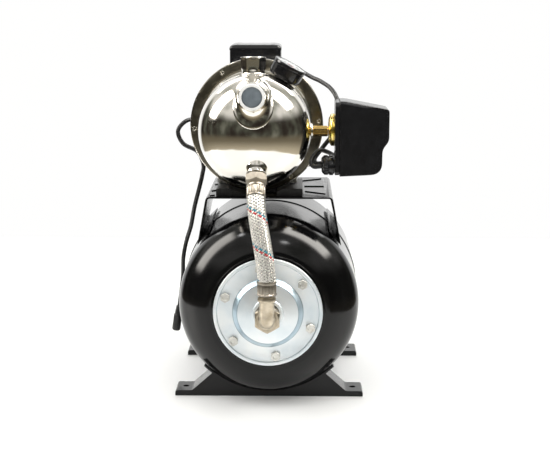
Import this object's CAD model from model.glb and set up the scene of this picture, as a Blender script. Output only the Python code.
"""Shallow well jet pump booster set: the look of the object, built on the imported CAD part.

A tank lies along y on two feet and carries a platform with the pump and its motor. Metres:
the pump's front faces -y, x runs to the right as seen from the front, z is up, and the
floor is z = 0. Pieces are laid out around the middle of the tank, like the CAD part, and
link() moves them by OFFSET into the row frame. A piece called NAME_look stands for the CAD
node NAME.
"""

from math import atan2, cos, inf, pi, radians, sin, sqrt

import bmesh
import bpy
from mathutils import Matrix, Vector


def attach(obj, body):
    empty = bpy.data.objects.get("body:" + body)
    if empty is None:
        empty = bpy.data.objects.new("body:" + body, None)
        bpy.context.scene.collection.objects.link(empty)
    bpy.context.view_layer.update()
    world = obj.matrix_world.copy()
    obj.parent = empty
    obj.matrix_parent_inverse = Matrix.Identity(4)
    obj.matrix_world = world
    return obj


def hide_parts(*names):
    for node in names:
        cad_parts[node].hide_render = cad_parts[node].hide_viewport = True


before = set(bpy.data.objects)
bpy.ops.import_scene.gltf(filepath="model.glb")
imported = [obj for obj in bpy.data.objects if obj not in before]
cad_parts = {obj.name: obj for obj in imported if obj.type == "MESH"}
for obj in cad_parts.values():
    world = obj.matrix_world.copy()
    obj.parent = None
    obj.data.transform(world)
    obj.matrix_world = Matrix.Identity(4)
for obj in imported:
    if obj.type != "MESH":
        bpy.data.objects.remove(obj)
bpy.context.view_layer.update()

OFFSET = Vector((0.0, 0.1316, 0.0))

# ---------------------------------------------------------- shared dimensions
GAP = 0.0003  # clearance between pieces that touch
TANK_R, TANK_Z = 0.135, 0.145
TANK_AXIS = (0, 0, TANK_Z)
PLATE_Z = 0.302  # top of the platform
PUMP_X, PUMP_Z = -0.020, 0.405
PUMP_AXIS = (PUMP_X, 0, PUMP_Z)
CASING_R = 0.0818
RING_FRONT, RING_BACK = -0.058, -0.050
CLAMP_BOLT_CIRCLE = 0.0945
CLAMP_BOLT_ANGLES = [3.5 + 60 * k for k in range(6)]
BASE_BOLTS = ((PUMP_X - 0.052, -0.012), (PUMP_X + 0.052, -0.012))
BOLT_HOLE_R = 0.0037
SWITCH_Y, NIPPLE_Z = -0.125, 0.403
GLAND_YS, GLAND_Z = (-0.1405, -0.1095), 0.353
CABLE_R = 0.0033


# ---------------------------------------------------------------- shader nodes
class Nodes:
    """Adds nodes to a shader tree. A value may be a number, a tuple or an output socket."""

    def __init__(self, tree):
        self.tree = tree

    def add(self, kind, **settings):
        made = self.tree.nodes.new(kind)
        for key, value in settings.items():
            setattr(made, key, value)
        return made

    def feed(self, socket, value):
        if isinstance(value, bpy.types.NodeSocket):
            self.tree.links.new(value, socket)
        else:
            socket.default_value = value

    def math(self, operation, *values):
        made = self.add("ShaderNodeMath", operation=operation)
        for socket, value in zip(made.inputs, values):
            self.feed(socket, value)
        return made.outputs[0]

    def split(self, vector):
        made = self.add("ShaderNodeSeparateXYZ")
        self.feed(made.inputs[0], vector)
        return made.outputs

    def noise(self, vector, scale, detail, roughness=0.5, distortion=0.0):
        made = self.add("ShaderNodeTexNoise")
        self.feed(made.inputs["Vector"], vector)
        made.inputs["Scale"].default_value = scale
        made.inputs["Detail"].default_value = detail
        made.inputs["Roughness"].default_value = roughness
        made.inputs["Distortion"].default_value = distortion
        return made.outputs["Fac"]

    def ramp(self, value, stops):
        """A colour ramp through stops of (place, colour)."""
        made = self.add("ShaderNodeValToRGB")
        elements = made.color_ramp.elements
        while len(elements) < len(stops):
            elements.new(0.5)
        for element, (place, colour) in zip(elements, stops):
            element.position = place
            element.color = (*colour, 1.0)
        self.feed(made.inputs["Fac"], value)
        return made.outputs["Color"]

    def map_range(self, value, low, high, to_low=0.0, to_high=1.0, interpolation="LINEAR"):
        made = self.add("ShaderNodeMapRange", interpolation_type=interpolation)
        self.feed(made.inputs["Value"], value)
        made.inputs["From Min"].default_value = low
        made.inputs["From Max"].default_value = high
        made.inputs["To Min"].default_value = to_low
        made.inputs["To Max"].default_value = to_high
        return made.outputs["Result"]

    def step(self, value, low, high):
        return self.map_range(value, low, high, interpolation="SMOOTHSTEP")

    def mix(self, factor, first, second, blend="MIX"):
        made = self.add("ShaderNodeMix", data_type="RGBA", blend_type=blend)
        for index, value in ((0, factor), (6, first), (7, second)):
            self.feed(made.inputs[index], (*value, 1.0) if isinstance(value, tuple) else value)
        return made.outputs[2]


class Finish(Nodes):
    """A procedural material: a Principled shader fed by noise in object space."""

    def __init__(self, name, roughness, metallic=0.0, **inputs):
        self.mat = bpy.data.materials.new(name)
        self.mat.use_nodes = True
        super().__init__(self.mat.node_tree)
        self.shader = self.tree.nodes["Principled BSDF"]
        self.drive("Roughness", roughness)
        self.drive("Metallic", metallic)
        for key, value in inputs.items():
            self.drive(key.replace("_", " "), value)
        self.place = self.add("ShaderNodeTexCoord").outputs["Object"]

    def drive(self, name, value):
        self.feed(self.shader.inputs[name], value)

    def cloud(self, scale, detail=4.0, roughness=0.5, stretch=(1, 1, 1), distortion=0.0):
        mapping = self.add("ShaderNodeMapping")
        mapping.inputs["Scale"].default_value = stretch
        self.feed(mapping.inputs["Vector"], self.place)
        return self.noise(mapping.outputs["Vector"], scale, detail, roughness, distortion)

    def colour(self, value, stops):
        self.drive("Base Color", self.ramp(value, stops))

    def rough(self, value, low, high):
        self.drive("Roughness", self.map_range(value, 0.3, 0.7, low, high))

    def bump(self, value, strength, distance):
        made = self.add("ShaderNodeBump")
        made.inputs["Strength"].default_value = strength
        made.inputs["Distance"].default_value = distance
        self.feed(made.inputs["Height"], value)
        self.drive("Normal", made.outputs["Normal"])


# ------------------------------------------------------------------ materials
def two_tone(name, low, high, rough, scale, metallic=0.0, grain=None, stretch=(1, 1, 1), **inputs):
    """Two colours in soft patches of one noise scale, with roughness that varies over a range.

    The grain, if any, is a bump: its strength, noise scale and depth.
    """
    made = Finish("look_" + name, rough[0], metallic, **inputs)
    patches = made.cloud(scale, detail=5, roughness=0.55, stretch=stretch)
    made.colour(patches, ((0.32, low), (0.68, high)))
    made.rough(made.cloud(scale * 2.3, detail=3, stretch=stretch), *rough)
    if grain:
        strength, grain_scale, depth = grain
        bumps = made.cloud(grain_scale, detail=3, roughness=0.55, stretch=stretch)
        made.bump(bumps, strength, depth)
    return made.mat


BLACK_PAINT = two_tone(
    "black_gloss_paint", (0.0022, 0.0022, 0.0024), (0.0038, 0.0038, 0.0041),
    rough=(0.10, 0.15), scale=14, grain=(0.05, 260, 0.0002), IOR=1.37)
FRAME_PAINT = two_tone(
    "black_bracket_paint", (0.0026, 0.0026, 0.0029), (0.0052, 0.0052, 0.0056),
    rough=(0.14, 0.22), scale=30, grain=(0.08, 500, 0.0002), IOR=1.37)
NUT_BRASS = two_tone(
    "nut_brass", (0.20, 0.17, 0.125), (0.28, 0.245, 0.19),
    rough=(0.28, 0.38), scale=120, metallic=0.14)
CLAMP_STEEL = two_tone(
    "clamp_steel", (0.26, 0.25, 0.215), (0.42, 0.405, 0.36),
    rough=(0.22, 0.34), scale=120, metallic=1.0)
ZINC_BOLT = two_tone(
    "zinc_bolt", (0.56, 0.56, 0.53), (0.74, 0.73, 0.69),
    rough=(0.28, 0.38), scale=70, metallic=1.0)
CHROME = two_tone(
    "polished_stainless", (0.75, 0.72, 0.66), (0.80, 0.775, 0.725),
    rough=(0.065, 0.115), scale=16, metallic=1.0, grain=(0.010, 26, 0.002))
PORT_SEAL = two_tone(
    "port_seal", (0.78, 0.78, 0.77), (0.86, 0.86, 0.85), rough=(0.34, 0.46), scale=120)
RING_STEEL = two_tone(
    "brushed_clamp_ring", (0.135, 0.125, 0.098), (0.22, 0.205, 0.165),
    rough=(0.28, 0.42), scale=70, metallic=1.0, grain=(0.10, 700, 0.0002), stretch=(1, 0.2, 1))
FERRULE = two_tone(
    "crimped_ferrule", (0.27, 0.24, 0.20), (0.40, 0.365, 0.31),
    rough=(0.30, 0.42), scale=150, metallic=1.0)
BRAID = two_tone(
    "steel_braid", (0.62, 0.605, 0.57), (0.82, 0.80, 0.765),
    rough=(0.24, 0.34), scale=300, metallic=1.0)
BRAID_RED = two_tone(
    "red_tracer", (0.42, 0.02, 0.03), (0.62, 0.05, 0.06), rough=(0.35, 0.50), scale=300)
BRAID_BLUE = two_tone(
    "teal_tracer", (0.01, 0.18, 0.27), (0.03, 0.30, 0.38), rough=(0.35, 0.50), scale=300)
HOSE_CORE = two_tone(
    "hose_core", (0.012, 0.011, 0.010), (0.035, 0.032, 0.028), rough=(0.45, 0.65), scale=200)
BRASS = two_tone(
    "champagne_brass", (0.43, 0.365, 0.27), (0.60, 0.53, 0.42),
    rough=(0.28, 0.40), scale=110, metallic=1.0, grain=(0.04, 700, 0.0001))
GOLD_BRASS = two_tone(
    "golden_brass", (0.74, 0.47, 0.13), (0.92, 0.66, 0.28),
    rough=(0.14, 0.26), scale=120, metallic=1.0)
PLASTIC = two_tone(
    "black_plastic", (0.0050, 0.0053, 0.0066), (0.0090, 0.0094, 0.0110),
    rough=(0.17, 0.25), scale=90, grain=(0.16, 1400, 0.00012))
GLOSSY = two_tone(
    "gloss_black_plastic", (0.0055, 0.0055, 0.0065), (0.0110, 0.0110, 0.0125),
    rough=(0.12, 0.22), scale=60, grain=(0.03, 900, 0.0001))
RUBBER = two_tone(
    "black_rubber", (0.0075, 0.0075, 0.0080), (0.0150, 0.0150, 0.0155),
    rough=(0.34, 0.52), scale=140, grain=(0.12, 1500, 0.0001))
PLUG = two_tone(
    "plug_plastic", (0.125, 0.150, 0.172), (0.185, 0.215, 0.240),
    rough=(0.42, 0.55), scale=90, grain=(0.14, 1100, 0.00012))
ALUMINIUM = two_tone(
    "cast_aluminium", (0.42, 0.42, 0.42), (0.58, 0.58, 0.57),
    rough=(0.38, 0.54), scale=80, metallic=1.0, grain=(0.25, 900, 0.0002))
LAMINATION = two_tone(
    "laminated_steel", (0.20, 0.20, 0.22), (0.34, 0.34, 0.36),
    rough=(0.40, 0.55), scale=300, metallic=1.0, stretch=(0.1, 6, 0.1))
COPPER = two_tone(
    "copper_winding", (0.55, 0.22, 0.09), (0.80, 0.40, 0.18),
    rough=(0.28, 0.42), scale=260, metallic=1.0, grain=(0.4, 700, 0.0004), stretch=(1, 3, 1))
NORYL = two_tone(
    "impeller_plastic", (0.030, 0.030, 0.038), (0.055, 0.055, 0.065),
    rough=(0.42, 0.55), scale=120)
WHITE = two_tone(
    "dial_white", (0.37, 0.37, 0.36), (0.43, 0.43, 0.42), rough=(0.50, 0.60), scale=120)
PRINT = two_tone(
    "dial_print", (0.010, 0.010, 0.012), (0.025, 0.025, 0.028), rough=(0.45, 0.60), scale=200)
RED = two_tone(
    "needle_red", (0.34, 0.012, 0.012), (0.46, 0.03, 0.025), rough=(0.40, 0.50), scale=200)
BEARING = two_tone(
    "bearing_steel", (0.55, 0.55, 0.56), (0.74, 0.74, 0.74),
    rough=(0.18, 0.30), scale=160, metallic=1.0)


def chromate_finish():
    """Yellow chromate over zinc: gold that drifts to pink and green."""
    made = Finish("look_yellow_chromate", roughness=0.22, metallic=1.0)
    made.colour(made.cloud(scale=70, detail=3, distortion=1.2), (
        (0.25, (0.50, 0.62, 0.16)), (0.42, (0.86, 0.66, 0.16)),
        (0.58, (0.92, 0.74, 0.30)), (0.78, (0.82, 0.46, 0.34))))
    made.rough(made.cloud(scale=150), low=0.16, high=0.30)
    return made.mat


# Shade by distance from the tank's axis: the pressed step is a band between two dark lines,
# and a third line runs near the rim.
FLANGE_BAND_REACH = (0.040, 0.080)  # radii at the ends of the ramp
FLANGE_BAND = (
    (0.100, (1, 1, 1)), (0.118, (0.34, 0.42, 0.48)), (0.145, (0.60, 0.70, 0.77)),
    (0.260, (0.66, 0.75, 0.81)), (0.284, (0.34, 0.42, 0.47)), (0.310, (1, 1, 1)),
    (0.845, (1, 1, 1)), (0.862, (0.50, 0.55, 0.58)), (0.885, (1, 1, 1)),
)


def flange_finish():
    """Bluish zinc, a little cloudy, darkened in rings."""
    made = Finish("look_flange_zinc", roughness=0.3, metallic=0.72)
    zinc = made.ramp(made.cloud(scale=20, distortion=0.4), (
        (0.30, (0.66, 0.735, 0.78)), (0.50, (0.78, 0.83, 0.86)), (0.72, (0.88, 0.90, 0.90))))
    place = made.split(made.place)
    squares = []
    for axis, middle in ((0, 0.0), (2, TANK_Z)):
        away = made.math("SUBTRACT", place[axis], middle)
        squares.append(made.math("MULTIPLY", away, away))
    reach = made.math("SQRT", made.math("ADD", *squares))
    band = made.ramp(made.map_range(reach, *FLANGE_BAND_REACH), FLANGE_BAND)
    made.drive("Base Color", made.mix(1.0, zinc, band, blend="MULTIPLY"))
    made.rough(made.cloud(scale=60, detail=3, stretch=(1, 1, 3)), low=0.34, high=0.46)
    scratches = made.cloud(scale=260, detail=3, stretch=(1, 1, 0.08), distortion=0.2)
    made.bump(scratches, strength=0.04, distance=0.0001)
    return made.mat


def window_finish():
    """Clear glazing that casts no shadow, so that light reaches the dial."""
    made = Finish("look_clear_window", roughness=0.02, Transmission_Weight=1.0, IOR=1.16)
    made.colour(made.cloud(scale=40), ((0.3, (0.95, 0.97, 0.97)), (0.7, (0.99, 1.0, 1.0))))
    either = made.add("ShaderNodeMixShader")
    made.feed(either.inputs[0], made.add("ShaderNodeLightPath").outputs["Is Shadow Ray"])
    made.feed(either.inputs[1], made.shader.outputs[0])
    made.feed(either.inputs[2], made.add("ShaderNodeBsdfTransparent").outputs[0])
    made.feed(made.tree.nodes["Material Output"].inputs["Surface"], either.outputs[0])
    return made.mat


CHROMATE, FLANGE_ZINC, CLEAR = chromate_finish(), flange_finish(), window_finish()


# --------------------------------------------------------- objects and modifiers
def smooth(made, angle=32):
    made.data.shade_smooth()
    made.data.set_sharp_from_angle(angle=radians(angle))


def link(name, build, mat, angle=32):
    """Turns a bmesh into an object in the row frame."""
    bmesh.ops.remove_doubles(build, verts=build.verts, dist=1e-7)
    bmesh.ops.recalc_face_normals(build, faces=build.faces)
    bmesh.ops.translate(build, verts=build.verts, vec=OFFSET)
    mesh = bpy.data.meshes.new(name)
    build.to_mesh(mesh)
    build.free()
    mesh.materials.append(mat)
    made = bpy.data.objects.new(name, mesh)
    bpy.context.scene.collection.objects.link(made)
    smooth(made, angle)
    return made


def bake(made, keep_layers=False):
    """Applies the modifiers of an object."""
    bpy.context.view_layer.update()
    graph = bpy.context.evaluated_depsgraph_get()
    options = {"preserve_all_data_layers": True, "depsgraph": graph} if keep_layers else {}
    mesh = bpy.data.meshes.new_from_object(made.evaluated_get(graph), **options)
    made.modifiers.clear()
    made.data = mesh


def merge(target, other, operation="UNION"):
    modifier = target.modifiers.new("cut", "BOOLEAN")
    modifier.operation = operation
    modifier.solver = "EXACT"
    modifier.object = other
    mat = target.data.materials[0]
    bake(target)
    target.data.materials.clear()
    target.data.materials.append(mat)
    bpy.data.objects.remove(other, do_unlink=True)
    build = bmesh.new()
    build.from_mesh(target.data)
    bmesh.ops.remove_doubles(build, verts=build.verts, dist=2e-6)
    bmesh.ops.dissolve_degenerate(build, edges=build.edges, dist=2e-6)
    build.to_mesh(target.data)
    build.free()
    smooth(target)


def join(name, *pieces):
    """Several closed pieces as one object, keeping each one's material."""
    first = pieces[0]
    for piece in pieces[1:]:
        build = bmesh.new()
        build.from_mesh(first.data)
        count = len(build.faces)
        build.from_mesh(piece.data)
        build.faces.ensure_lookup_table()
        slots = list(first.data.materials)
        mat = piece.data.materials[0]
        if mat not in slots:
            first.data.materials.append(mat)
            slots.append(mat)
        for face in build.faces[count:]:
            face.material_index = slots.index(mat)
        build.to_mesh(first.data)
        build.free()
        bpy.data.objects.remove(piece, do_unlink=True)
    first.name = name
    first.data.name = name
    smooth(first)
    return first


def cut(target, *cutters):
    """Cuts all the cutters, which don't touch each other, out of the target at once."""
    merge(target, join("cutters", *cutters), operation="DIFFERENCE")


def bevel(made, width, segments, angle):
    """Rounds edges sharper than the angle; area-weighted normals keep flat faces flat."""
    modifier = made.modifiers.new("edge", "BEVEL")
    modifier.width = width
    modifier.segments = segments
    modifier.limit_method = "ANGLE"
    modifier.angle_limit = radians(angle)
    modifier.use_clamp_overlap = True
    bake(made)
    smooth(made, 40)
    modifier = made.modifiers.new("level", "WEIGHTED_NORMAL")
    modifier.mode = "FACE_AREA"
    modifier.keep_sharp = True
    bake(made, keep_layers=True)
    return made


def trim(made, body="frame"):
    """Puts on its body a piece that stands for no CAD node of its own."""
    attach(made, body)


def dress(made, body="frame", node=None):
    """Puts a piece on its body in place of a CAD node, by default the one it is named after."""
    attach(made, body)
    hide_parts(node or made.name.removesuffix("_look"))


# --------------------------------------------------------------- solid builders
def add_rings(build, rings):
    return [[build.verts.new(point) for point in ring] for ring in rings]


def bridge(build, first, second):
    """Faces between two rings of vertices, either of which may be a single point."""
    if len(first) == len(second) == 1:
        return
    count = max(len(first), len(second))
    for i in range(count):
        j = (i + 1) % count
        if len(first) == 1:
            build.faces.new((first[0], second[i], second[j]))
        elif len(second) == 1:
            build.faces.new((first[i], first[j], second[0]))
        else:
            build.faces.new((first[i], first[j], second[j], second[i]))


def skin(name, build, rings, mat, angle=32, closed=False):
    """Joins rings of vertices, then the last to the first if closed, or else caps the ends."""
    for first, second in zip(rings, rings[1:]):
        bridge(build, first, second)
    if closed:
        bridge(build, rings[-1], rings[0])
    else:
        build.faces.new(rings[0][::-1])
        build.faces.new(rings[-1])
    return link(name, build, mat, angle)


def shell(name, rings, mat, angle=32, closed=False):
    """A skin over rings of points that all go round the same way."""
    build = bmesh.new()
    return skin(name, build, add_rings(build, rings), mat, angle, closed)


def frame_of(axis):
    """Two directions square to an axis and to each other."""
    axis = Vector(axis).normalized()
    side = Vector((0, 0, 1)) if abs(axis.z) < 0.9 else Vector((1, 0, 0))
    across = side.cross(axis).normalized()
    return across, axis.cross(across).normalized()


FULL_HEX = ("hex", inf)


def shaped_radius(radius, angle, kind=None, first=0, second=0):
    """Round; ("hex", cap), half the flats wide and cut by a cone; ("flute", count, depth)."""
    if kind == "hex":
        sector = (angle + pi / 6) % (pi / 3) - pi / 6
        return min(radius / cos(sector), first)
    if kind == "flute":
        return radius - second * (0.5 + 0.5 * cos(first * angle)) ** 2
    return radius


def turned(name, profile, mat, centre, axis=(0, 1, 0), sides=96, angle=32):
    """A profile of (radius, distance along the axis, optional shape) spun round an axis."""
    build = bmesh.new()
    centre, axis = Vector(centre), Vector(axis).normalized()
    across, upward = frame_of(axis)
    rings = []
    for radius, along, *shape in profile:
        base = centre + axis * along
        if radius < 1e-9:
            rings.append([build.verts.new(base)])
            continue
        ring = []
        for i in range(sides):
            turn = 2 * pi * i / sides
            reach = shaped_radius(radius, turn, *(shape[0] if shape else ()))
            point = base + (across * cos(turn) + upward * sin(turn)) * reach
            ring.append(build.verts.new(point))
        rings.append(ring)
    return skin(name, build, rings, mat, angle, closed=True)


def drill(start, end, radius, sides=32):
    """A round cutter."""
    start, end = Vector(start), Vector(end)
    length = (end - start).length
    profile = [(0, 0), (radius, 0), (radius, length), (0, length)]
    return turned("hole", profile, PLASTIC, start, end - start, sides)


def prism(name, outline, axis, low, high, mat=PLASTIC):
    """An outline pushed along an axis. It is (x, z) for Y, (x, y) for Z and (y, z) for X."""
    build = bmesh.new()

    def at(point, depth):
        first, second = point
        return {"Y": (first, depth, second), "Z": (first, second, depth),
                "X": (depth, first, second)}[axis]

    start, end = add_rings(build, [[at(point, depth) for point in outline]
                                   for depth in (low, high)])
    build.faces.new(start)
    build.faces.new(end[::-1])
    bridge(build, start, end)
    return link(name, build, mat)


def rectangle(left, bottom, right, top):
    return [(left, bottom), (right, bottom), (right, top), (left, top)]


def around(axis, radius, degrees, y):
    """A point at a radius and angle round an axis that runs along y."""
    turn = radians(degrees)
    return Vector((axis[0] + radius * cos(turn), y, axis[2] + radius * sin(turn)))


def drill_circle(axis, circle, angles, start, end, radius):
    return [drill(around(axis, circle, degrees, start), around(axis, circle, degrees, end),
                  radius, sides=16) for degrees in angles]


def corner_curve(before, corner, after, radius, share, steps):
    """A curve across a corner that takes up at most a share of either side."""
    corner = Vector(corner)
    back, ahead = Vector(before) - corner, Vector(after) - corner
    radius = min(radius, back.length * share, ahead.length * share)
    back, ahead = back.normalized() * radius, ahead.normalized() * radius
    return [tuple(corner + back * (1 - k / steps) ** 2 + ahead * (k / steps) ** 2)
            for k in range(steps + 1)]


def rounded(outline, radii, steps=6):
    """An outline with each corner rounded by its own radius."""
    points = []
    for i, (corner, radius) in enumerate(zip(outline, radii)):
        after = outline[(i + 1) % len(outline)]
        if radius > 0:
            points += corner_curve(outline[i - 1], corner, after, radius, 0.45, steps)
        else:
            points.append(corner)
    return points


def soften(profile, radius):
    """A turned profile with its corners rounded, except the nearly straight ones."""
    points = []
    for i, point in enumerate(profile):
        before, after = profile[i - 1], profile[(i + 1) % len(profile)]
        corner = Vector(point)
        if (Vector(before) - corner).angle(Vector(after) - corner) > radians(150):
            points.append(point)
        else:
            points += corner_curve(before, point, after, radius, 0.4, 3)
    return points


def spline(knots, step):
    """A Catmull-Rom curve through the knots, in pieces of about one step."""
    knots = [Vector(knot) for knot in knots]
    ends = [2 * knots[0] - knots[1]] + knots + [2 * knots[-1] - knots[-2]]
    points = []
    for i in range(1, len(ends) - 2):
        before, start, end, after = ends[i - 1 : i + 3]
        count = max(2, round((end - start).length / step))
        for k in range(count):
            share = k / count
            points.append(0.5 * (2 * start + (end - before) * share
                                 + (2 * before - 5 * start + 4 * end - after) * share**2
                                 + (3 * start - before - 3 * end + after) * share**3))
    points.append(knots[-1])
    return points


def stations_of(path):
    """(point, across, up, tangent) along a path, without twist."""
    path = [Vector(point) for point in path]
    last = len(path) - 1
    tangents = [(path[min(i + 1, last)] - path[max(i - 1, 0)]).normalized()
                for i in range(len(path))]
    across, _ = frame_of(tangents[0])
    found = []
    for point, along in zip(path, tangents):
        across = (across - along * across.dot(along)).normalized()
        found.append((point, across.copy(), along.cross(across).normalized(), along))
    return found


def swept(name, path, radius, mat, bore=0.0, sides=24, ends=()):
    """A tube or rod along a path. The ends are (distance, radius) beyond the last point."""
    stations = [(point, across, upward, radius[i] if isinstance(radius, list) else radius)
                for i, (point, across, upward, _) in enumerate(stations_of(path))]
    last, across, upward, _ = stations[-1]
    direction = across.cross(upward).normalized()
    stations += [(last + direction * distance, across, upward, size) for distance, size in ends]

    def circle(centre, across, upward, size):
        turns = [2 * pi * i / sides for i in range(sides)]
        return [centre + (across * cos(turn) + upward * sin(turn)) * size for turn in turns]

    build = bmesh.new()
    rings = add_rings(build, [circle(*station) for station in stations])
    if bore:
        rings += add_rings(build, [circle(*station[:3], bore) for station in stations])[::-1]
    return skin(name, build, rings, mat, closed=bool(bore))


def hex_bolt(name, seat, axis, flat, head, shank_r, shank, mat, dish):
    """A hex bolt with chamfered corners and a dish in its head."""
    corner = flat / cos(pi / 6)
    chamfer = corner - flat * 0.93
    profile = [(0, head - dish), (flat * 0.45, head - dish), (flat * 0.62, head),
               (flat * 0.93, head)]
    profile += [(flat, head - chamfer * 0.62 * share, ("hex", flat * 0.93 + chamfer * share))
                for share in (0.25, 0.5, 0.75, 1.0)]
    profile += [(flat, 0.0006, FULL_HEX), (flat, 0.0003, ("hex", corner * 0.97)),
                (flat * 0.95, 0.0), (shank_r, 0), (shank_r, -shank), (0, -shank)]
    return turned(name, profile, mat, seat, axis, sides=48, angle=24)


# ----------------------------------------------------------------------- tank
TANK_HALF, TANK_DOME, TANK_WALL = 0.125, 0.0745, 0.0020
NECK_R, NECK_FACE = 0.050, -0.1857
FLANGE_BOLTS = (TANK_AXIS, 0.066, (40, 100, 160, 220, 280, 340))  # axis, circle, angles
FLANGE_HOLE_R = 0.0044


def head_profile(inset, end, steps):
    """The tank's domed end as (radius, y), from its rim up to an end angle in degrees."""
    angles = [radians(end * i / steps) for i in range(steps + 1)]
    return [((TANK_R - inset) * cos(angle) ** 0.8, TANK_HALF + (TANK_DOME - inset) * sin(angle))
            for angle in angles]


def tank_profile():
    profile = [(NECK_R, NECK_FACE), (0.0826, NECK_FACE), (0.0832, NECK_FACE + 0.0002),
               (0.0838, NECK_FACE + 0.0008)]
    profile += [(radius, -y) for radius, y in reversed(head_profile(0, 53.5, 40))]
    profile += [(TANK_R, -0.118), (TANK_R, -0.006)]
    # A weld bead runs round the middle.
    profile += [(TANK_R + 0.0013 * cos(pi / 2 * k / 6), 0.0042 * k / 6) for k in range(-6, 7)]
    profile += [(TANK_R, 0.006), (TANK_R, 0.118)]
    profile += head_profile(0, 86.5, 56)
    profile += [(0.0045, TANK_HALF + TANK_DOME), (0.0045, TANK_HALF + TANK_DOME - TANK_WALL)]
    profile += reversed(head_profile(TANK_WALL, 86, 14))
    profile += [(radius, -y) for radius, y in head_profile(TANK_WALL, 50, 10)]
    return profile + [(NECK_R, NECK_FACE + 0.008)]


tank = turned("tank_shell_look", tank_profile(), BLACK_PAINT, TANK_AXIS, sides=192, angle=50)
cut(tank, *drill_circle(*FLANGE_BOLTS, NECK_FACE - 0.001, NECK_FACE + 0.020, FLANGE_HOLE_R))
dress(tank)

FLANGE_R = 0.080
FLANGE_PROFILE = (  # radius, y
    (0.0175, -0.2050), (0.0220, -0.2050), (0.0228, -0.2000), (0.0440, -0.1988),
    (0.0452, -0.1984), (0.0512, -0.1906), (0.0522, -0.1900), (0.0738, -0.1900),
    (0.0748, -0.1916), (0.0793, -0.1918), (FLANGE_R, -0.1908), (FLANGE_R, -0.1872),
    (0.0745, NECK_FACE - GAP), (0.0500, NECK_FACE - GAP), (0.0490, -0.1870),
    (0.0430, -0.1955), (0.0175, -0.1960),
)
flange = turned("tank_flange_look", soften(FLANGE_PROFILE, 0.0006), FLANGE_ZINC, TANK_AXIS,
                sides=192)
cut(flange, *drill_circle(*FLANGE_BOLTS, -0.20, -0.18, FLANGE_HOLE_R))
dress(flange)
_, bolt_circle, bolt_angles = FLANGE_BOLTS
for number, degrees in enumerate(bolt_angles, 1):
    seat = around(TANK_AXIS, bolt_circle, degrees, -0.19 - GAP)
    dress(hex_bolt(f"flange_bolt_{number}_look", seat, (0, -1, 0), flat=0.0065, head=0.0053,
                   shank_r=0.004, shank=0.015, mat=ZINC_BOLT, dish=0.0008))

# The air valve stands in the middle of the tank's rear end.
VALVE_BASE = TANK_HALF + TANK_DOME
valve_stem = [(0.0014, -0.01), (0.0039, -0.01), (0.0039, GAP), (0.008, GAP), (0.008, 0.003),
              (0.0042, 0.0036)]
for k in range(9):
    valve_stem += [(0.0041, 0.0042 + 0.0012 * k), (0.0037, 0.0048 + 0.0012 * k)]
valve_stem += [(0.0038, 0.016), (0.0014, 0.016)]
dress(turned("air_valve_stem_look", [(radius, VALVE_BASE + y) for radius, y in valve_stem],
             BRASS, TANK_AXIS, sides=40))
CAP_FLUTE = ("flute", 20, 0.0003)
VALVE_CAP = (
    (0, 0.0205), (0.0046, 0.0205), (0.0054, 0.02), (0.0058, 0.0192, CAP_FLUTE),
    (0.0058, 0.0052, CAP_FLUTE), (0.0054, 0.005), (0.0043, 0.005), (0.0043, 0.0165), (0, 0.0165),
)
dress(turned("air_valve_cap_look",
             [(radius, VALVE_BASE + y, *shape) for radius, y, *shape in VALVE_CAP],
             PLASTIC, TANK_AXIS, sides=80))

# ----------------------------------------------------------------------- feet
FOOT_Y, FOOT_DEPTH, FOOT_HALF, FOOT_PAD, FOOT_WALL = 0.110, 0.046, 0.1425, 0.0085, 0.0028
FOOT_HOLE_X, FOOT_HOLE_R = 0.1275, 0.0045


def foot_outline(inset=0.0):
    """(x, z) round the foot, or round its hollow when inset."""
    points = [
        (FOOT_HALF - inset, -inset), (FOOT_HALF - inset, FOOT_PAD - 0.003 - inset * 0.6),
        (FOOT_HALF - 0.001 - inset, FOOT_PAD - 0.001 - inset),
        (FOOT_HALF - 0.003 - inset, FOOT_PAD - inset),
        (0.1190 - inset * 0.4, FOOT_PAD - inset),
        (0.1165 - inset * 0.4, FOOT_PAD + 0.0006 - inset),
        (0.1145 - inset * 0.4, FOOT_PAD + 0.0022 - inset),
    ]
    saddle_start = -54.5
    if not inset:
        points += [(0.0885, 0.0338), (0.0866, 0.0356)]
        lip = TANK_R + 0.004
        for k in range(5):
            turn = radians(-51.5 + 6.5 * k / 4)
            points.append((lip * cos(turn), TANK_Z + lip * sin(turn)))
        saddle_start = -44.6
    saddle = TANK_R + 0.0008 + inset
    for i in range(27):
        turn = radians(saddle_start + (-90.0 - saddle_start) * i / 26)
        points.append((saddle * cos(turn), TANK_Z + saddle * sin(turn)))
    return points + [(-x, z) for x, z in reversed(points[:-1])]


def foot(name, y):
    half = FOOT_DEPTH / 2
    made = prism(name, foot_outline(), "Y", y - half, y + half, FRAME_PAINT)
    cut(made, prism("hollow", foot_outline(FOOT_WALL), "Y",
                    y - half + FOOT_WALL, y + half - FOOT_WALL))
    cut(made, *[drill((x, y, -0.001), (x, y, 0.012), FOOT_HOLE_R)
                for x in (-FOOT_HOLE_X, FOOT_HOLE_X)])
    return bevel(made, width=0.0009, segments=3, angle=40)


dress(foot("front_foot_look", -FOOT_Y))
dress(foot("rear_foot_look", FOOT_Y))

# ------------------------------------------------------------------- platform
PLATE_HALF, PLATE_FRONT, PLATE_REAR, PLATE_T = 0.095, -0.110, 0.105, 0.0025
SKIRT_X, SKIRT_Z = 0.107, 0.231  # where the skirts end on the tank


def on_tank(x, lift=0.0):
    reach = TANK_R + 0.0016 + lift
    return (x, TANK_Z + sqrt(reach * reach - x * x))


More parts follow.
